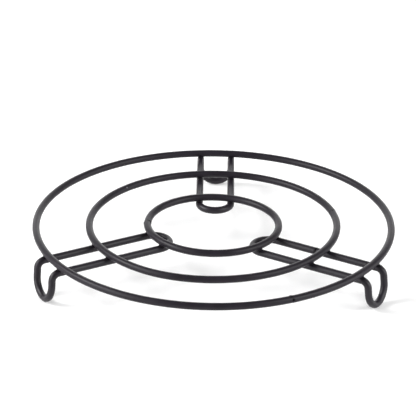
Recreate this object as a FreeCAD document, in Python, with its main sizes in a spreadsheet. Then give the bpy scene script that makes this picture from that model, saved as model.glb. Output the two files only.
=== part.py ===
"""Round wire trivet: three concentric wire rings welded onto three looped wire legs.

The frame's origin is on the rings' common axis at table level, with +Z up and the rear leg
towards +Y. The other two legs stand about 120 degrees to either side of it, each where the
welding jig let it settle: a leg's offset is its sideways shift from the line through the axis.
Sizes in millimetres.
"""
import FreeCAD, Part
import math
import os

import Sketcher

DRIVING_DIMENSIONS = {
    "wire_dia": 4.0,            # finished wire, powder coat included
    "overall_height": 24.2,     # table to the top of the rings
    "outer_ring_od": 200.0,
    "middle_ring_od": 140.2,
    "inner_ring_od": 76.2,
    "leg_width": 17.8,          # between the centrelines of a leg's two runs
    "leg_inner_reach": 27.1,    # ring axis to the innermost point of a leg's centreline
    "leg_corner_reach": 101.5,  # ring axis to where a run's line meets its foot's line
    "leg_bend_radius": 4.0,     # centreline, where a run turns down into its foot
    "foot_splay": 6.0,          # degrees that a foot leans outwards
    "leg_seam_reach": 60.6,     # ring axis to the butt weld in a leg's run
    "crossing_gap": 0.1,        # weld metal between a ring and the run under it
    "seam_gap": 1.0,            # weld metal between the two ends of one wire
    "seam_dia": 4.25,           # a butt weld stands a little proud of its wire
    "nugget_dia": 5.2,          # weld at a crossing, seen from above
    "nugget_height": 3.4,
    "rear_leg_bearing": 90.0,
    "left_leg_bearing": 210.0,
    "right_leg_bearing": 329.2,
    "rear_leg_offset": -0.7,    # as welded: how far a leg lies to one side of its bearing
    "left_leg_offset": -3.1,
    "right_leg_offset": -0.5,
    "outer_seam_bearing": 294.8,
    "middle_seam_bearing": 14.2,
    "inner_seam_bearing": 178.4,
}

RINGS = ("outer", "middle", "inner")
LEGS = ("rear", "left", "right")
RUNS = {"ccw": 1, "cw": -1}     # a leg's two runs, by the side of its own bearing they lie on

RING_Z = "(Sizes.overall_height - Sizes.wire_dia / 2)"
RUN_Z = f"({RING_Z} - Sizes.wire_dia - Sizes.crossing_gap)"
Z_AXIS = FreeCAD.Vector(0, 0, 1)

doc = FreeCAD.newDocument("wire_trivet")
sizes = doc.addObject("Spreadsheet::Sheet", "Sizes")
for row, (alias, value) in enumerate(DRIVING_DIMENSIONS.items(), start=1):
    sizes.set(f"A{row}", alias)
    sizes.set(f"B{row}", str(value))
    sizes.setAlias(f"B{row}", alias)
doc.recompute()


def ring_radius(ring):
    """Expression for a ring's centreline radius."""
    return f"((Sizes.{ring}_ring_od - Sizes.wire_dia) / 2)"


def seam_angle(ring):
    """Expression for the angle that a ring's butt weld takes up, in degrees."""
    return f"(Sizes.seam_gap / {ring_radius(ring)} * 180 / pi)"


def turn_about_axis(feature, bearing):
    """Turn a finished sub-part about the rings' axis by an expression in degrees."""
    feature.Placement = FreeCAD.Placement(FreeCAD.Vector(), FreeCAD.Rotation(Z_AXIS, 0))
    feature.setExpression("Placement.Rotation.Angle", bearing)


def place_on_leg(feature, leg):
    """Turn a sub-part made along +X to its leg's bearing, and shift it by the leg's offset."""
    turn_about_axis(feature, f"Sizes.{leg}_leg_bearing")
    feature.setExpression("Placement.Base.x", f"-Sizes.{leg}_leg_offset * sin(Sizes.{leg}_leg_bearing)")
    feature.setExpression("Placement.Base.y", f"Sizes.{leg}_leg_offset * cos(Sizes.{leg}_leg_bearing)")


def ring_arc(label, ring, section_dia, sweep, bearing):
    """A round section revolved about the rings' axis, its middle at local bearing zero."""
    body = doc.addObject("PartDesign::Body", label)
    body.Label = label
    sketch = body.newObject("Sketcher::SketchObject", f"{label}_section")
    upright = next(plane for plane in body.Origin.OriginFeatures if plane.Role == "XZ_Plane")
    sketch.AttachmentSupport = [(upright, "")]
    sketch.MapMode = "FlatFace"
    reach = (DRIVING_DIMENSIONS[f"{ring}_ring_od"] - DRIVING_DIMENSIONS["wire_dia"]) / 2
    centre = FreeCAD.Vector(reach, DRIVING_DIMENSIONS["overall_height"], 0)
    circle = sketch.addGeometry(Part.Circle(centre, Z_AXIS, DRIVING_DIMENSIONS["wire_dia"] / 2))
    limits = {
        "reach": (Sketcher.Constraint("DistanceX", -1, 1, circle, 3, reach), ring_radius(ring)),
        "level": (Sketcher.Constraint("DistanceY", -1, 1, circle, 3, centre.y), RING_Z),
        "section": (Sketcher.Constraint("Diameter", circle, centre.y / 6), section_dia),
    }
    for name, (constraint, expression) in limits.items():
        index = sketch.addConstraint(constraint)
        sketch.renameConstraint(index, name)
        sketch.setExpression(f"Constraints.{name}", expression)
    revolution = body.newObject("PartDesign::Revolution", f"{label}_revolution")
    revolution.Profile = sketch
    revolution.ReferenceAxis = (sketch, ["V_Axis"])
    revolution.Midplane = True
    revolution.setExpression("Angle", sweep)
    turn_about_axis(body, bearing)
    return body


def leg_centreline():
    """One leg's open centreline along +X: from its butt weld out, round the foot, and back in."""
    size = {alias: float(sizes.get(alias)) for alias in DRIVING_DIMENSIONS}
    half_width = size["leg_width"] / 2
    run_z = size["overall_height"] - 1.5 * size["wire_dia"] - size["crossing_gap"]
    turn = math.radians(90 - size["foot_splay"])
    down = FreeCAD.Vector(math.cos(turn), 0, -math.sin(turn))
    tangent_length = size["leg_bend_radius"] * math.tan(turn / 2)
    foot_length = (run_z - size["wire_dia"] / 2) / math.sin(turn) - half_width
    bend_sagitta = size["leg_bend_radius"] * (1 / math.cos(turn / 2) - 1)

    def side(across):
        corner = FreeCAD.Vector(size["leg_corner_reach"], across, run_z)
        inwards = (down - FreeCAD.Vector(1, 0, 0)).normalize()
        return {
            "seam_out": FreeCAD.Vector(size["leg_seam_reach"] + size["seam_gap"] / 2, across, run_z),
            "seam_in": FreeCAD.Vector(size["leg_seam_reach"] - size["seam_gap"] / 2, across, run_z),
            "bend_top": corner - FreeCAD.Vector(tangent_length, 0, 0),
            "bend_middle": corner + inwards * bend_sagitta,
            "bend_foot": corner + down * tangent_length,
            "foot_end": corner + down * foot_length,
            "inner_end": FreeCAD.Vector(size["leg_inner_reach"] + half_width, across, run_z),
        }

    seamed, plain = side(half_width), side(-half_width)
    foot_tip = (seamed["foot_end"] + plain["foot_end"]) / 2 + down * half_width
    inner_tip = FreeCAD.Vector(size["leg_inner_reach"], 0, run_z)
    pieces = [
        Part.LineSegment(seamed["seam_out"], seamed["bend_top"]),
        Part.Arc(seamed["bend_top"], seamed["bend_middle"], seamed["bend_foot"]),
        Part.LineSegment(seamed["bend_foot"], seamed["foot_end"]),
        Part.Arc(seamed["foot_end"], foot_tip, plain["foot_end"]),
        Part.LineSegment(plain["foot_end"], plain["bend_foot"]),
        Part.Arc(plain["bend_foot"], plain["bend_middle"], plain["bend_top"]),
        Part.LineSegment(plain["bend_top"], plain["inner_end"]),
        Part.Arc(plain["inner_end"], inner_tip, seamed["inner_end"]),
        Part.LineSegment(seamed["inner_end"], seamed["seam_in"]),
    ]
    return Part.Wire([piece.toShape() for piece in pieces])


def wire_leg(leg, centreline, section):
    """The wire swept along a leg's centreline."""
    label = f"{leg}_leg"
    sweep = doc.addObject("Part::Sweep", label)
    sweep.Label = label
    sweep.Sections = [section]
    sweep.Spine = (centreline, [f"Edge{n}" for n in range(1, len(centreline.Shape.Edges) + 1)])
    sweep.Solid = True
    sweep.Frenet = False
    place_on_leg(sweep, leg)
    return sweep


def leg_seam(leg):
    """The butt weld that closes a leg's wire, a short round bead across the gap."""
    label = f"{leg}_leg_seam"
    bead = doc.addObject("Part::Cylinder", f"{label}_bead")
    bead.setExpression("Radius", "Sizes.seam_dia / 2")
    bead.setExpression("Height", "Sizes.seam_gap")
    bead.Placement.Rotation = FreeCAD.Rotation(FreeCAD.Vector(0, 1, 0), 90)
    bead.setExpression("Placement.Base.x", "Sizes.leg_seam_reach - Sizes.seam_gap / 2")
    bead.setExpression("Placement.Base.y", "Sizes.leg_width / 2")
    bead.setExpression("Placement.Base.z", RUN_Z)
    seam = doc.addObject("Part::Compound", label)
    seam.Label = label
    seam.Links = [bead]
    place_on_leg(seam, leg)
    return seam


def crossing_weld(leg, ring, run):
    """Weld metal squeezed out between a ring and one run, cut to the shape of both wires."""
    label = f"weld_{leg}_{ring}_{run}"
    nugget = doc.addObject("Part::Ellipsoid", f"{label}_nugget")
    nugget.setExpression("Radius1", "Sizes.nugget_height / 2")
    nugget.setExpression("Radius2", "Sizes.nugget_dia / 2")
    nugget.setExpression("Radius3", "Sizes.nugget_dia / 2")
    radius = ring_radius(ring)
    across = f"({RUNS[run]} * Sizes.leg_width / 2 + Sizes.{leg}_leg_offset)"
    bearing = f"(Sizes.{leg}_leg_bearing * 1deg + asin({across} / {radius}))"
    nugget.setExpression("Placement.Base.x", f"{radius} * cos({bearing})")
    nugget.setExpression("Placement.Base.y", f"{radius} * sin({bearing})")
    nugget.setExpression("Placement.Base.z", f"({RING_Z} + {RUN_Z}) / 2")
    under_ring = doc.addObject("Part::Cut", f"{label}_under_ring")
    under_ring.Base, under_ring.Tool = nugget, ring_wires[ring]
    weld = doc.addObject("Part::Cut", label)
    weld.Label = label
    weld.Base, weld.Tool = under_ring, leg_wires[leg]
    return weld


leg_line = doc.addObject("Part::Feature", "leg_centreline")
leg_line.Shape = leg_centreline()
leg_section = doc.addObject("Part::Circle", "leg_section")
leg_section.setExpression("Radius", "Sizes.wire_dia / 2")
leg_section.Placement.Rotation = FreeCAD.Rotation(FreeCAD.Vector(0, 1, 0), 90)
leg_section.setExpression("Placement.Base.x", "Sizes.leg_seam_reach + Sizes.seam_gap / 2")
leg_section.setExpression("Placement.Base.y", "Sizes.leg_width / 2")
leg_section.setExpression("Placement.Base.z", RUN_Z)

ring_wires = {
    ring: ring_arc(f"{ring}_ring", ring, "Sizes.wire_dia", f"360 - {seam_angle(ring)}",
                   f"Sizes.{ring}_seam_bearing + 180")
    for ring in RINGS
}
ring_seams = [
    ring_arc(f"{ring}_ring_seam", ring, "Sizes.seam_dia", seam_angle(ring),
             f"Sizes.{ring}_seam_bearing")
    for ring in RINGS
]
leg_wires = {leg: wire_leg(leg, leg_line, leg_section) for leg in LEGS}
leg_seams = [leg_seam(leg) for leg in LEGS]
crossing_welds = [crossing_weld(leg, ring, run) for leg in LEGS for ring in RINGS for run in RUNS]
parts = [*ring_wires.values(), *ring_seams, *leg_wires.values(), *leg_seams, *crossing_welds]

doc.recompute()
for feature in doc.Objects:
    if "Invalid" in feature.State or "Error" in feature.State:
        raise RuntimeError(f"{feature.Label} failed: {feature.State}")
for part in parts:
    if part.Shape.isNull() or not part.Shape.isValid() or len(part.Shape.Solids) != 1:
        raise RuntimeError(f"{part.Label} is not one valid solid")

os.makedirs("parts", exist_ok=True)
for part in parts:
    part.Shape.exportStep(f"parts/{part.Label}.step")
    centre = part.Shape.Solids[0].CenterOfMass
    print(f"{part.Label}: {part.Shape.Volume:.2f} mm3 at {centre.x:.2f}, {centre.y:.2f}, {centre.z:.2f}")
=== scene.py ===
"""Looks of a round wire trivet: powder-coated rings, legs and the welds that join them.

All lengths are in metres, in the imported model's frame: the rings' axis is Z, the table is z = 0
and the rear leg points along +Y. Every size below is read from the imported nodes, apart from the
few that only this file needs.
"""

import math

import bpy
from mathutils import Matrix, Vector


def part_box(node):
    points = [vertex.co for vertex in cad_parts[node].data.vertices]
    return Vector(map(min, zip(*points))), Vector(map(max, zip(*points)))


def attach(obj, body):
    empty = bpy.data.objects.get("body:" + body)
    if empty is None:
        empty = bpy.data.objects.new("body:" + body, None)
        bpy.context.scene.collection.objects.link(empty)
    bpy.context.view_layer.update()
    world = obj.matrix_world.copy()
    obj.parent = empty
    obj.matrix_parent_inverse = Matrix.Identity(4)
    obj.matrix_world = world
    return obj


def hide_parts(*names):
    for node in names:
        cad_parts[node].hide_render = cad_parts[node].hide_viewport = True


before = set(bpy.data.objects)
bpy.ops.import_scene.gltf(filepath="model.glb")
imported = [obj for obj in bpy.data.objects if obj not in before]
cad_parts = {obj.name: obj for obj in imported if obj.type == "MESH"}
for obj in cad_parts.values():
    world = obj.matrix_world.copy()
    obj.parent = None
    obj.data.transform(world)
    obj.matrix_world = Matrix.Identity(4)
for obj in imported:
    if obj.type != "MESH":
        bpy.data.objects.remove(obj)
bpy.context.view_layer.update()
BODY = "root"
MM = 0.001
UP = Vector((0, 0, 1))

RINGS = ("outer", "middle", "inner")
LEGS = ("rear", "left", "right")
SIDES = ("ccw", "cw")

FOOT_SPLAY = math.radians(6)    # how far a foot leans outwards
BEND_RADIUS = 4 * MM            # of the wire's centreline, where a run turns down


# ---------------------------------------------------------------- sizes, from the frame

def middle_of(node):
    """The middle of a node's bounding box."""
    low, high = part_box(node)
    return (low + high) / 2


def bearing_of(place):
    """Angle about the rings' axis, from +X towards +Y."""
    return math.atan2(place.y, place.x)


def reach_along(node, direction):
    """Least and greatest distance of a node's surface along a direction."""
    distances = [vertex.co.dot(direction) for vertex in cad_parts[node].data.vertices]
    return min(distances), max(distances)


RING_LOW, RING_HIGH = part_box("outer_ring")
WIRE_RADIUS = (RING_HIGH.z - RING_LOW.z) / 2
RING_HEIGHT = (RING_HIGH.z + RING_LOW.z) / 2
RUN_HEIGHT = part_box("rear_leg")[1].z - WIRE_RADIUS
FOOT_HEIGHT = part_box("rear_leg")[0].z + WIRE_RADIUS


def ring_radius(ring):
    """Centreline radius, from the larger of the ring's two extents."""
    low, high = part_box(f"{ring}_ring")
    return max(high.y - low.y, high.x - low.x) / 2 - WIRE_RADIUS


def leg_frame(leg):
    """A leg's own axes and sizes, worked out from the welds at its crossings."""
    inner, outer = ([middle_of(f"weld_{leg}_{ring}_{side}") for side in SIDES]
                    for ring in ("inner", "outer"))
    outwards = outer[0] + outer[1] - inner[0] - inner[1]
    outwards.z = 0
    outwards.normalize()
    across = Vector((-outwards.y, outwards.x, 0))
    nearest, farthest = reach_along(f"{leg}_leg", outwards)
    drop = RUN_HEIGHT - FOOT_HEIGHT
    return {
        "outwards": outwards,
        "across": across,
        "bearing": bearing_of(outwards),
        "offset": (outer[0] + outer[1]).dot(across) / 2,
        "half_width": (outer[0] - outer[1]).dot(across) / 2,
        "inner_reach": nearest + WIRE_RADIUS,
        "corner_reach": farthest - WIRE_RADIUS - drop * math.tan(FOOT_SPLAY),
        "seam_reach": middle_of(f"{leg}_leg_seam").dot(outwards),
    }


RING_RADII = {ring: ring_radius(ring) for ring in RINGS}
LEG_FRAMES = {leg: leg_frame(leg) for leg in LEGS}

# As welded, a ring is drawn in at the three legs, a little oval, and a little off the axis. An
# oval's bearing is that of its long axis.
DRAWN_IN = {"outer": 0.42 * MM, "middle": 0.2 * MM, "inner": 0.1 * MM}
OVAL = {"outer": 0.0, "middle": 0.35 * MM, "inner": 0.3 * MM}
OVAL_BEARING = {"outer": 0.0, "middle": math.radians(24), "inner": math.radians(137)}
OFF_CENTRE = {"outer": Vector((0.15, 0, 0)) * MM, "middle": Vector((-0.1, 0.35, 0)) * MM,
              "inner": Vector((-0.1, -0.1, 0)) * MM}


def on_ring(ring, bearing):
    """A place on a ring's centreline."""
    past_leg = bearing - LEG_FRAMES["rear"]["bearing"]
    reach = (RING_RADII[ring] - DRAWN_IN[ring] * math.cos(3 * past_leg)
             + OVAL[ring] * math.cos(2 * (bearing - OVAL_BEARING[ring])))
    round_axis = Vector((reach * math.cos(bearing), reach * math.sin(bearing), RING_HEIGHT))
    return round_axis + OFF_CENTRE[ring]


# ---------------------------------------------------------------- node tree helpers

class NodeTree:
    """A geometry or material tree that is written as nested calls."""

    def __init__(self, tree):
        self.tree = tree

    def add(self, kind, *values, **settings):
        """Adds a node. values fill its sockets in order, or by name from a dict given last."""
        node = self.tree.nodes.new(kind)
        named = values[-1] if values and isinstance(values[-1], dict) else {}
        plain = values[:-1] if named else values
        for name, setting in settings.items():
            setattr(node, name, setting)
        for key, value in [*enumerate(plain), *named.items()]:
            self.fill(node.inputs[key], value)
        return node

    def fill(self, socket, value):
        if isinstance(value, bpy.types.Node):
            value = value.outputs[0]
        if isinstance(value, bpy.types.NodeSocket):
            self.tree.links.new(value, socket)
        else:
            socket.default_value = value

    def math(self, operation, *values):
        return self.add("ShaderNodeMath", *values, operation=operation).outputs[0]

    def vector(self, operation, *values):
        node = self.add("ShaderNodeVectorMath", *values, operation=operation)
        return node.outputs["Value" if operation == "LENGTH" else "Vector"]

    def scaled(self, vector, factor):
        return self.add("ShaderNodeVectorMath", {0: vector, "Scale": factor},
                        operation="SCALE").outputs[0]

    def span(self, a, b):
        """The length of a vector whose two parts are a and b."""
        return self.vector("LENGTH", self.add("ShaderNodeCombineXYZ", a, b))


def geometry_tree(name, inputs):
    """A geometry tree with named inputs, given as name: socket type, and one mesh output."""
    tree = bpy.data.node_groups.new(name, "GeometryNodeTree")
    for label, kind in inputs.items():
        tree.interface.new_socket(label, in_out="INPUT", socket_type=f"NodeSocket{kind}")
    tree.interface.new_socket("Geometry", in_out="OUTPUT", socket_type="NodeSocketGeometry")
    return NodeTree(tree), tree.nodes.new("NodeGroupInput").outputs


def finish_tree(made, geometry, material):
    """Ends a geometry tree the way that every one here ends."""
    realized = made.add("GeometryNodeRealizeInstances", geometry)
    smooth = made.add("GeometryNodeSetShadeSmooth", realized)
    painted = made.add("GeometryNodeSetMaterial",
                       {"Geometry": smooth.outputs[0], "Material": material})
    made.add("NodeGroupOutput", painted)
    return made.tree


def made_by(tree, name, source, values):
    """Runs a geometry tree on a source object and returns the result as a plain mesh object."""
    bpy.context.scene.collection.objects.link(source)
    modifier = source.modifiers.new("make", "NODES")
    modifier.node_group = tree
    for item in tree.interface.items_tree:
        if item.in_out == "INPUT" and item.name in values:
            modifier[item.identifier] = values[item.name]
    bpy.context.view_layer.update()
    evaluated = source.evaluated_get(bpy.context.evaluated_depsgraph_get())
    mesh = bpy.data.meshes.new_from_object(evaluated)
    bpy.data.objects.remove(source)
    mesh.name = name
    piece = bpy.data.objects.new(name, mesh)
    bpy.context.scene.collection.objects.link(piece)
    return piece


# ---------------------------------------------------------------- powder coat

def beside_wire(along, side, degrees, distance, slide=0.0):
    """The step from a wire's axis to a place beside it, at an angle from side towards up."""
    angle = math.radians(degrees)
    return (side * math.cos(angle) + UP * math.sin(angle)) * distance + along * slide


def ring_axes(bearing):
    """Level directions outwards from a ring's axis and along its wire."""
    outwards = Vector((math.cos(bearing), math.sin(bearing), 0))
    return outwards, UP.cross(outwards)


def seam_bearing(ring):
    """Where a ring's butt weld is."""
    return bearing_of(middle_of(f"{ring}_ring_seam"))


# On each ring's butt weld, where a lump stands proud and where a pit lies: degrees round the wire
# from straight outwards towards up, and how far along it.
RING_LUMPS = {"outer": (112, -0.4 * MM), "middle": (60, 0.3 * MM), "inner": (150, 0.0)}
RING_PITS = {"outer": (8, 0.5 * MM), "middle": (100, -1.3 * MM), "inner": (105, 1.1 * MM)}


def pit_step(ring, distance):
    """From the middle of a ring's butt weld to its pit."""
    outwards, along = ring_axes(seam_bearing(ring))
    degrees, slide = RING_PITS[ring]
    return beside_wire(along, outwards, degrees, distance, slide)


LIGHT_SPECK_BEARING = math.radians(138)    # of a light grey speck painted on the middle ring's coat
# Light grey and glossier than the coat: a speck painted on the middle ring.
LIGHT_SPECK_LOOK = {"radius": 0.5 * MM, "colour": (0.16, 0.16, 0.17, 1), "gloss": 0.3}
# Near-black and dull: painted shade in the pits of the ring seams.
PAINTED_PIT_SHADE = {"radius": 0.8 * MM, "colour": (0.004, 0.004, 0.004, 1), "gloss": 0.07}


def speck_and_pit_shade():
    """Places and looks of a light grey speck on the middle ring's coat and of painted shade in the
    seams' pits.
    """
    outwards, along = ring_axes(LIGHT_SPECK_BEARING)
    speck = beside_wire(along, outwards, degrees=140, distance=WIRE_RADIUS)
    marks = [(on_ring("middle", LIGHT_SPECK_BEARING) + speck, LIGHT_SPECK_LOOK)]
    for ring in RINGS:
        # Painted shade in the pit of each ring's seam.
        marks.append((on_ring(ring, seam_bearing(ring)) + pit_step(ring, WIRE_RADIUS), PAINTED_PIT_SHADE))
    return marks


def powder_coat(name, shade, roughness, gloss):
    """Satin black powder coat: orange peel, a fine powder grain, faint cloudy patches, a light grey
    speck and painted shade in the seams' pits.
    """
    material = bpy.data.materials.new(name)
    material.use_nodes = True
    made = NodeTree(material.node_tree)
    surface = made.tree.nodes["Principled BSDF"]
    place = made.add("ShaderNodeTexCoord").outputs["Object"]
    cloud = made.add("ShaderNodeTexNoise", {"Vector": place, "Scale": 140.0, "Detail": 3.0})
    grain = made.add("ShaderNodeTexNoise", {"Vector": place, "Scale": 2600.0, "Detail": 2.0})
    peel = made.add("ShaderNodeTexNoise", {"Vector": place, "Scale": 900.0, "Detail": 2.0})
    tone = made.math("ADD", made.math("MULTIPLY", cloud.outputs["Fac"], 0.5),
                     made.math("MULTIPLY", grain.outputs["Fac"], 0.5))
    colours = made.add("ShaderNodeValToRGB", tone)
    dark, light = colours.color_ramp.elements
    dark.position, light.position = 0.35, 0.68
    dark.color = (*[0.72 * part for part in shade], 1)
    light.color = (*[1.3 * part for part in shade], 1)
    # A Mix node has sockets for each kind of value: numbers are inputs 2 and 3 and output 0, and
    # colours are inputs 6 and 7 and output 2.
    colour, shine = colours.outputs["Color"], gloss
    # Mix in the light speck and the painted shade in the seams' pits.
    for spot, mark in speck_and_pit_shade():
        distance = made.vector("LENGTH", made.vector("SUBTRACT", place, spot))
        inside = made.add("ShaderNodeMapRange", {
            "Value": distance, "From Min": 0.5 * mark["radius"], "From Max": mark["radius"],
            "To Min": 1.0, "To Max": 0.0})
        colour = made.add("ShaderNodeMix", {"Factor": inside.outputs["Result"], 6: colour,
                                            7: mark["colour"]}, data_type="RGBA").outputs[2]
        shine = made.add("ShaderNodeMix", {"Factor": inside.outputs["Result"], 2: shine,
                                           3: mark["gloss"]}).outputs[0]
    made.fill(surface.inputs["Base Color"], colour)
    rough = made.add("ShaderNodeMapRange", {"Value": tone, "From Min": 0.3, "From Max": 0.7,
                                            "To Min": roughness - 0.05, "To Max": roughness + 0.06})
    made.fill(surface.inputs["Roughness"], rough.outputs["Result"])
    height = made.math("ADD", made.math("MULTIPLY", peel.outputs["Fac"], 0.75),
                       made.math("MULTIPLY", grain.outputs["Fac"], 0.25))
    bump = made.add("ShaderNodeBump", {"Strength": 0.5, "Distance": 0.12 * MM, "Height": height})
    made.fill(surface.inputs["Normal"], bump.outputs["Normal"])
    made.fill(surface.inputs["Specular IOR Level"], shine)
    return material


COAT = (0.0118, 0.0092, 0.0140)    # nearly black, with a trace of violet
RING_COAT = powder_coat("ring_powder_coat", COAT, roughness=0.42, gloss=0.23)
LEG_COAT = powder_coat("leg_powder_coat", COAT, roughness=0.40, gloss=0.31)
# Darker at 0.7 of the coat's shade: painted shade over the rings' butt welds.
SEAM_PAINTED_SHADE_COAT = powder_coat("seam_painted_shade_coat", [0.7 * part for part in COAT], roughness=0.45,
                        gloss=0.2)
# Darker at half the coat's shade: painted shade on the crossing welds, where the rings lie on the
# legs, and on the right leg's butt weld.
WELD_PAINTED_SHADE_COAT = powder_coat("weld_painted_shade_coat", [0.5 * part for part in COAT], roughness=0.5,
                        gloss=0.15)


# ---------------------------------------------------------------- wire

def wire_tree():
    """Sweeps round wire along a path, a little uneven in line and in the thickness of its coat.

    The wire's first end stands off its path by End Shift, which dies away over End Length.
    """
    made, given = geometry_tree("coated_wire", {
        "Path": "Geometry", "Wire Radius": "Float", "Step": "Float", "Facets": "Int",
        "Wander": "Float", "Coat Unevenness": "Float", "End Shift": "Vector",
        "End Length": "Float", "Seed": "Float", "Material": "Material"})
    evened = made.add("GeometryNodeResampleCurve",
                      {"Curve": given["Path"], "Length": given["Step"]}, mode="LENGTH")
    place = made.add("GeometryNodeInputPosition")
    drift = made.add("ShaderNodeTexNoise", {"Vector": place, "W": given["Seed"], "Scale": 22.0,
                                            "Detail": 1.0}, noise_dimensions="4D")
    centred = made.vector("SUBTRACT", drift.outputs["Color"], (0.5, 0.5, 0.5))
    along = made.add("GeometryNodeSplineParameter").outputs["Length"]
    fading = made.math("EXPONENT", made.math("DIVIDE", made.math("MULTIPLY", along, -1.0),
                                             given["End Length"]))
    shift = made.vector("ADD", made.scaled(centred, given["Wander"]),
                        made.scaled(given["End Shift"], fading))
    wandering = made.add("GeometryNodeSetPosition", {"Geometry": evened, "Offset": shift})
    section = made.add("GeometryNodeCurvePrimitiveCircle",
                       {"Resolution": given["Facets"], "Radius": given["Wire Radius"]})
    tube = made.add("GeometryNodeCurveToMesh",
                    {"Curve": wandering, "Profile Curve": section, "Fill Caps": True})
    swell = made.add("ShaderNodeTexNoise", {"Vector": place, "W": given["Seed"], "Scale": 260.0,
                                            "Detail": 2.0}, noise_dimensions="4D")
    depth = made.math("MULTIPLY", made.math("SUBTRACT", swell.outputs["Fac"], 0.5),
                      given["Coat Unevenness"])
    outwards = made.scaled(made.add("GeometryNodeInputNormal"), depth)
    coated = made.add("GeometryNodeSetPosition", {"Geometry": tube, "Offset": outwards})
    return finish_tree(made, coated, given["Material"])


WIRE_TREE = wire_tree()


def path_object(name, points):
    """A Bezier path through (place, handle back, handle on) triples."""
    curve = bpy.data.curves.new(name, "CURVE")
    curve.dimensions = "3D"
    curve.resolution_u = 64
    spline = curve.splines.new("BEZIER")
    spline.bezier_points.add(len(points) - 1)
    for knot, (place, back, on) in zip(spline.bezier_points, points):
        knot.handle_left_type = knot.handle_right_type = "FREE"
        knot.co, knot.handle_left, knot.handle_right = place, place - back, place + on
    return bpy.data.objects.new(name, curve)


def coated_wire(node, points, seed, material, slot, **values):
    """One bent wire, which stands for its CAD node."""
    piece = made_by(WIRE_TREE, f"{node}_wire", path_object(f"{node}_path", points), {
        "Wire Radius": WIRE_RADIUS, "Step": 0.8 * MM, "Facets": 28, "Wander": 0.25 * MM,
        "Coat Unevenness": 0.08 * MM, "End Length": 6 * MM, "Seed": seed,
        "Material": material, **values})
    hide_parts(node)
    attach(piece, BODY)


BUTT_GAP = 0.8 * MM                                # between the two ends of one wire
FOOT_TIP_SHIFT = {"left": (0.5 * MM, 1.8 * MM)}    # as bent: further outwards, and to the side


def arc_handle(radius, angle):
    """Length of the Bezier handles that make an arc of that radius and angle."""
    return 4 / 3 * math.tan(angle / 4) * radius


def ring_points(ring):
    """From one side of a ring's butt weld round to the other."""
    half_gap = BUTT_GAP / 2 / RING_RADII[ring]
    start = seam_bearing(ring) + half_gap
    arc_count = 18
    arc = (2 * math.pi - 2 * half_gap) / arc_count
    nudge = arc / 8
    points = []
    for step in range(arc_count + 1):
        bearing = start + arc * step
        ahead, behind = on_ring(ring, bearing + nudge), on_ring(ring, bearing - nudge)
        on = (ahead - behind) / (2 * nudge) * arc_handle(1, arc)
        points.append((on_ring(ring, bearing), on, on))
    return points


def leg_points(leg):
    """Round one leg from its butt weld: out, down, round the foot, back in, round the inner end."""
    size = LEG_FRAMES[leg]
    half = size["half_width"]
    turn = math.pi / 2 - FOOT_SPLAY
    cut = BEND_RADIUS * math.tan(turn / 2)
    foot_length = (RUN_HEIGHT - FOOT_HEIGHT) / math.sin(turn) - half
    inner_end = size["inner_reach"] + half
    out = Vector((1, 0, 0))
    down = Vector((math.cos(turn), 0, -math.sin(turn)))
    side = Vector((0, 1, 0))
    bend = arc_handle(BEND_RADIUS, turn)
    quarter = arc_handle(half, math.pi / 2)
    straight = 1 * MM    # length of the handles where the wire is straight

    def on_run(reach, hand):
        return Vector((reach, hand * half, RUN_HEIGHT))

    corner = {hand: on_run(size["corner_reach"], hand) for hand in (1, -1)}
    askew = Vector((*FOOT_TIP_SHIFT.get(leg, (0, 0)), 0))
    side_share = 0.4    # of the tip's shift, where the foot's straight sides end
    foot = {hand: corner[hand] + down * foot_length + askew * side_share for hand in (1, -1)}
    foot_tip = (foot[1] + foot[-1]) / 2 + down * half + askew * (1 - side_share)
    inner_tip = Vector((size["inner_reach"], 0, RUN_HEIGHT))
    local = [
        (on_run(size["seam_reach"] + BUTT_GAP / 2, 1), out * straight, out * straight),
        (corner[1] - out * cut, out * straight, out * bend),
        (corner[1] + down * cut, down * bend, down * straight),
        (foot[1], down * straight, down * quarter),
        (foot_tip, -side * quarter, -side * quarter),
        (foot[-1], -down * quarter, -down * straight),
        (corner[-1] + down * cut, -down * straight, -down * bend),
        (corner[-1] - out * cut, -out * bend, -out * straight),
        (on_run(inner_end, -1), -out * straight, -out * quarter),
        (inner_tip, side * quarter, side * quarter),
        (on_run(inner_end, 1), out * quarter, out * straight),
        (on_run(size["seam_reach"] - BUTT_GAP / 2, 1), out * straight, out * straight),
    ]
    turned = Matrix.Rotation(size["bearing"], 3, "Z")
    shift = size["across"] * size["offset"]
    return [(turned @ place + shift, turned @ back, turned @ on) for place, back, on in local]


# How far one end of a ring's wire stands out from the other at its butt weld.
RING_MISMATCH = {"outer": 0.15 * MM, "middle": 0.12 * MM, "inner": 0.35 * MM}


def make_wires():
    """The three rings and the three legs, each with its own run of unevenness."""
    for number, ring in enumerate(RINGS):
        outwards, _ = ring_axes(seam_bearing(ring))
        coated_wire(f"{ring}_ring", ring_points(ring), seed=1.0 + number, material=RING_COAT,
                    slot="ring_wire", **{"End Shift": outwards * RING_MISMATCH[ring]})
    for number, leg in enumerate(LEGS):
        coated_wire(f"{leg}_leg", leg_points(leg), seed=7.0 + number, material=LEG_COAT,
                    slot="leg_wire")


# ---------------------------------------------------------------- welds

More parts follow.
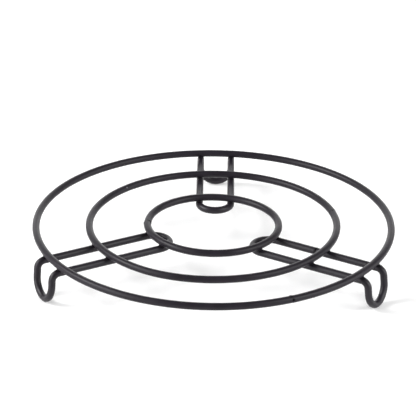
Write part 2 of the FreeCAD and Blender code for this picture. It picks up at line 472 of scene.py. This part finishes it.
def weld_tree():
    """A lump of weld metal that flows into the wires it joins, and sinks into them further off.

    Each wire and the lump is a distance field. The three are joined with a smooth minimum, and
    the skin is where the joined distance is nought. The skin sinks by Sink between Core and Reach
    from the weld's centre, so that its rim lies inside the wires. A pit is then cut out of it, and
    the lump ends at Reach.
    """
    made, given = geometry_tree("weld_lump", {
        "Centre": "Vector", "Ring Radius": "Float", "Ring Height": "Float", "Bearing": "Float",
        "Offset": "Float", "Half Width": "Float", "Inner End": "Float", "Run Height": "Float",
        "Wire Radius": "Float", "Lump Radius": "Float", "Fillet": "Float", "Roughness": "Float",
        "Core": "Float", "Reach": "Float", "Sink": "Float", "Lump Shift": "Vector",
        "Pit Shift": "Vector", "Pit Radius": "Float", "Voxels": "Int", "Seed": "Float",
        "Material": "Material"})
    place = made.add("GeometryNodeInputPosition").outputs[0]
    flat = made.add("ShaderNodeSeparateXYZ", place).outputs
    ring_out = made.math("SUBTRACT", made.span(flat[0], flat[1]), given["Ring Radius"])
    ring_up = made.math("SUBTRACT", flat[2], given["Ring Height"])
    ring = made.math("SUBTRACT", made.span(ring_out, ring_up), given["Wire Radius"])

    turned = made.add("ShaderNodeVectorRotate",
                      {"Vector": place, "Angle": made.math("MULTIPLY", given["Bearing"], -1.0)},
                      rotation_type="Z_AXIS")
    local = made.add("ShaderNodeSeparateXYZ", turned).outputs
    past_end = made.math("MINIMUM", made.math("SUBTRACT", local[0], given["Inner End"]), 0.0)
    across = made.math("SUBTRACT", local[1], given["Offset"])
    beside = made.math("SUBTRACT", made.span(past_end, across), given["Half Width"])
    run_up = made.math("SUBTRACT", local[2], given["Run Height"])
    run = made.math("SUBTRACT", made.span(beside, run_up), given["Wire Radius"])

    inside = made.vector("SUBTRACT", place, given["Centre"])
    from_centre = made.vector("LENGTH", inside)
    from_lump = made.vector("LENGTH", made.vector("SUBTRACT", inside, given["Lump Shift"]))
    lump = made.math("SUBTRACT", from_lump, given["Lump Radius"])
    wires = made.math("SMOOTH_MIN", ring, run, given["Fillet"])
    joined = made.math("SMOOTH_MIN", wires, lump, given["Fillet"])
    ripple = made.add("ShaderNodeTexNoise", {"Vector": place, "W": given["Seed"], "Scale": 700.0,
                                             "Detail": 2.0}, noise_dimensions="4D")
    rough = made.math("MULTIPLY", made.math("SUBTRACT", ripple.outputs["Fac"], 0.5),
                      given["Roughness"])
    fade = made.add("ShaderNodeMapRange", {"Value": from_centre, "From Min": given["Core"],
                                           "From Max": given["Reach"], "To Min": 0.0,
                                           "To Max": given["Sink"]}, interpolation_type="SMOOTHSTEP")
    skin = made.math("ADD", made.math("ADD", joined, rough), fade.outputs["Result"])
    from_pit = made.vector("LENGTH", made.vector("SUBTRACT", inside, given["Pit Shift"]))
    pitted = made.math("MAXIMUM", skin, made.math("SUBTRACT", given["Pit Radius"], from_pit))
    bounded = made.math("MAXIMUM", pitted, made.math("SUBTRACT", from_centre, given["Reach"]))
    density = made.math("SUBTRACT", 1.0, made.math("DIVIDE", bounded, given["Reach"]))
    margin = made.math("MULTIPLY", given["Reach"], 1.1)
    corner = made.add("ShaderNodeCombineXYZ", margin, margin, margin)
    cube = made.add("GeometryNodeVolumeCube", {
        "Density": density, "Background": 0.0,
        "Min": made.vector("SUBTRACT", given["Centre"], corner),
        "Max": made.vector("ADD", given["Centre"], corner), "Resolution X": given["Voxels"],
        "Resolution Y": given["Voxels"], "Resolution Z": given["Voxels"]})
    mesh = made.add("GeometryNodeVolumeToMesh", {"Volume": cube, "Threshold": 1.0})
    return finish_tree(made, mesh, given["Material"])


WELD_TREE = weld_tree()


def weld(node, leg, ring, seed, slot, **values):
    """One weld, which stands for its CAD node.

    Both wires' sizes are given, even where one of the wires is far off.
    """
    size = LEG_FRAMES[leg]
    centre = middle_of(node)
    ring_here = on_ring(ring, bearing_of(centre)) - RING_HEIGHT * UP
    source = bpy.data.objects.new(f"{node}_source", bpy.data.meshes.new(f"{node}_source"))
    piece = made_by(WELD_TREE, f"{node}_metal", source, {
        "Centre": centre, "Ring Radius": ring_here.length, "Ring Height": RING_HEIGHT,
        "Bearing": size["bearing"], "Offset": size["offset"], "Half Width": size["half_width"],
        "Inner End": size["inner_reach"] + size["half_width"], "Run Height": RUN_HEIGHT,
        "Wire Radius": WIRE_RADIUS, "Sink": 0.25 * MM, "Voxels": 56, "Seed": seed,
        "Material": WELD_PAINTED_SHADE_COAT, **values})
    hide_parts(node)
    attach(piece, BODY)


# Sizes of the weld metal at a crossing, at a butt weld, and at a butt weld that is dressed flush.
CROSSING = {"Lump Radius": 1.5 * MM, "Fillet": 0.8 * MM, "Roughness": 0.2 * MM,
            "Core": 2.0 * MM, "Reach": 3.0 * MM}
BUTT = {"Fillet": 0.5 * MM, "Roughness": 0.25 * MM, "Core": 2.0 * MM, "Reach": 2.9 * MM,
        "Pit Radius": 0.8 * MM}
DRESSED_BUTT = {**BUTT, "Lump Radius": 1.9 * MM, "Roughness": 0.02 * MM, "Sink": 0.12 * MM,
                "Pit Radius": 0.0}


def make_crossing_welds():
    """Metal where each ring lies on a leg's two runs, halfway between the wires' centres."""
    seed = 20.0
    for leg in LEGS:
        for ring in RINGS:
            for side in SIDES:
                node = f"weld_{leg}_{ring}_{side}"
                crossing = on_ring(ring, bearing_of(middle_of(node)))
                crossing.z = (RING_HEIGHT + RUN_HEIGHT) / 2
                weld(node, leg, ring, seed, slot="crossing_weld",
                     **{**CROSSING, "Centre": crossing})
                seed += 1


def make_ring_seams():
    """Each ring's butt weld, with a small lump that stands proud and a pit."""
    for number, ring in enumerate(RINGS):
        outwards, along = ring_axes(seam_bearing(ring))
        degrees, slide = RING_LUMPS[ring]
        weld(f"{ring}_ring_seam", "rear", ring, seed=50.0 + number, slot="butt_weld",
             **{**BUTT, "Centre": on_ring(ring, seam_bearing(ring)), "Lump Radius": 1.2 * MM,
                "Lump Shift": beside_wire(along, outwards, degrees, distance=1.0 * MM, slide=slide),
                "Pit Shift": pit_step(ring, distance=2.0 * MM), "Material": SEAM_PAINTED_SHADE_COAT})


def make_leg_seams():
    """The right leg's butt weld is left as welded. The other two are dressed flush."""
    right = LEG_FRAMES["right"]
    pit = beside_wire(right["outwards"], right["across"], degrees=135, distance=2.0 * MM,
                      slide=0.4 * MM)
    weld("right_leg_seam", "right", "outer", seed=60.0, slot="butt_weld",
         **{**BUTT, "Lump Radius": 1.95 * MM, "Pit Shift": pit, "Pit Radius": 1.0 * MM})
    for number, leg in enumerate(("rear", "left")):
        weld(f"{leg}_leg_seam", leg, "outer", seed=61.0 + number, slot="butt_weld",
             **{**DRESSED_BUTT, "Material": LEG_COAT})


# ---------------------------------------------------------------- floor, light and camera

def make_floor():
    """A pale matt table, far wider than the camera sees."""
    material = bpy.data.materials.new("pale_floor")
    material.use_nodes = True
    surface = material.node_tree.nodes["Principled BSDF"]
    surface.inputs["Base Color"].default_value = (0.95, 0.95, 0.95, 1)
    surface.inputs["Roughness"].default_value = 0.9
    surface.inputs["Specular IOR Level"].default_value = 0.1
    surface.inputs["Emission Color"].default_value = (1, 1, 1, 1)
    surface.inputs["Emission Strength"].default_value = 0.1
    mesh = bpy.data.meshes.new("floor")
    half = 3.0
    mesh.from_pydata([(-half, -half, 0), (half, -half, 0), (half, half, 0), (-half, half, 0)],
                     [], [(0, 1, 2, 3)])
    mesh.materials.append(material)
    floor = bpy.data.objects.new("floor", mesh)
    bpy.context.scene.collection.objects.link(floor)


def towards(azimuth, elevation):
    """Unit vector to a place seen from the trivet: azimuth 0 is in front, 90 to the right."""
    azimuth, elevation = math.radians(azimuth), math.radians(elevation)
    return Vector((math.sin(azimuth) * math.cos(elevation),
                   -math.cos(azimuth) * math.cos(elevation), math.sin(elevation)))


def soft_box(name, azimuth, elevation, power, width, height=0.7, distance=1.6):
    """A soft box aimed at the trivet."""
    light = bpy.data.lights.new(name, "AREA")
    light.shape, light.size, light.size_y, light.energy = "RECTANGLE", width, height, power
    away = towards(azimuth, elevation)
    lamp = bpy.data.objects.new(name, light)
    lamp.location = away * distance
    lamp.rotation_euler = away.to_track_quat("Z", "Y").to_euler()
    lamp.visible_camera = False
    bpy.context.scene.collection.objects.link(lamp)


def make_lights():
    """An even white surround, and soft boxes that draw the highlights along the wires."""
    world = bpy.data.worlds.new("studio")
    world.use_nodes = True
    world.node_tree.nodes["Background"].inputs["Color"].default_value = (1, 1, 1, 1)
    world.node_tree.nodes["Background"].inputs["Strength"].default_value = 0.34
    bpy.context.scene.world = world
    soft_box("left_box", -90, 35, power=23.5, width=0.7)
    soft_box("right_box", 60, 35, power=11.5, width=0.7)
    soft_box("low_left_box", -60, 14, power=11, width=0.7)
    soft_box("low_right_box", 90, 14, power=7.4, width=0.7)
    soft_box("low_front_box", 60, 12, power=4.5, width=0.7)
    soft_box("back_box", 180, 14, power=10.5, width=2.2)


def make_camera():
    """A long lens, a little above the rings, turned a hair off level."""
    target = Vector((-3.15 * MM, 20.67 * MM, RING_HEIGHT))
    away = towards(azimuth=0.36, elevation=25.05)
    distance = 1.32
    roll = Matrix.Rotation(math.radians(0.54), 3, "Z")
    data = bpy.data.cameras.new("camera")
    data.sensor_width = 36
    data.lens = 203.4
    data.clip_start, data.clip_end = 0.05, 20
    camera = bpy.data.objects.new("camera", data)
    camera.location = target + away * distance
    camera.rotation_euler = (away.to_track_quat("Z", "Y").to_matrix() @ roll).to_euler()
    bpy.context.scene.collection.objects.link(camera)
    bpy.context.scene.camera = camera


make_wires()
make_crossing_welds()
make_ring_seams()
make_leg_seams()
make_floor()
make_lights()
make_camera()
bpy.context.scene.view_settings.view_transform = "Standard"
